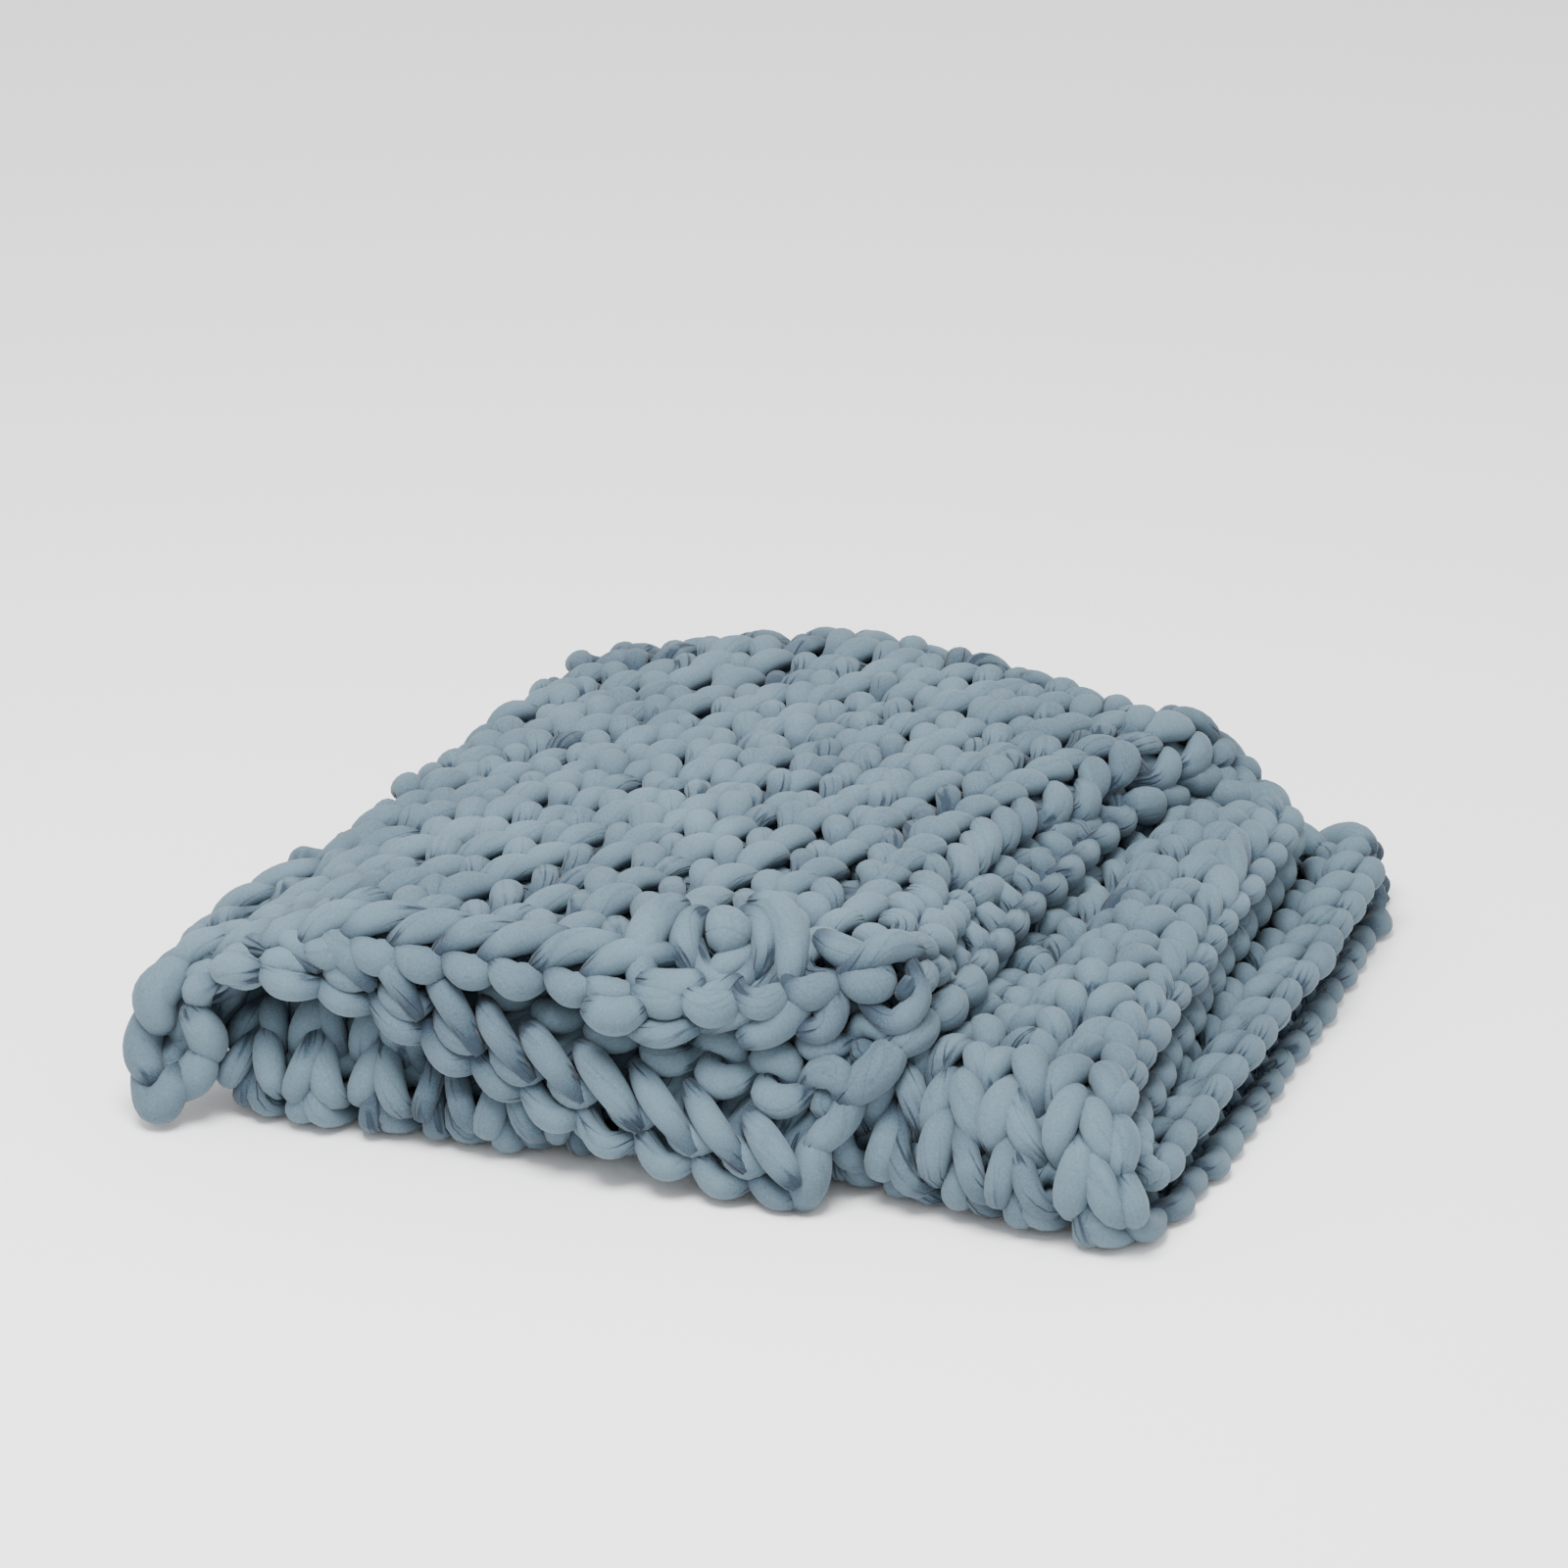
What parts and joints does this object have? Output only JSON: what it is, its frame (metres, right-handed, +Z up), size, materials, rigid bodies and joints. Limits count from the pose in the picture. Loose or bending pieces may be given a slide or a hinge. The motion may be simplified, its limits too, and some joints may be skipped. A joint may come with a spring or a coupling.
{
  "type": "chunky knitted weighted blanket, folded",
  "caption": "Thick hand-knitted weighted blanket of stuffed cotton tube, folded in half and then back and forth into a soft flat pile with drooping hems.",
  "frame": {"origin": "middle of the pile's box, on the surface it lies on", "axes": "+X to the right along the front fold, +Y to the back fold, +Z up"},
  "size_m": [0.8757, 0.7764, 0.2099],
  "materials": {
    "yarn": "matt dusty slate-blue cotton jersey tube"
  },
  "bodies": {
    "root": {"blanket": "yarn"}
  },
  "joints": []
}
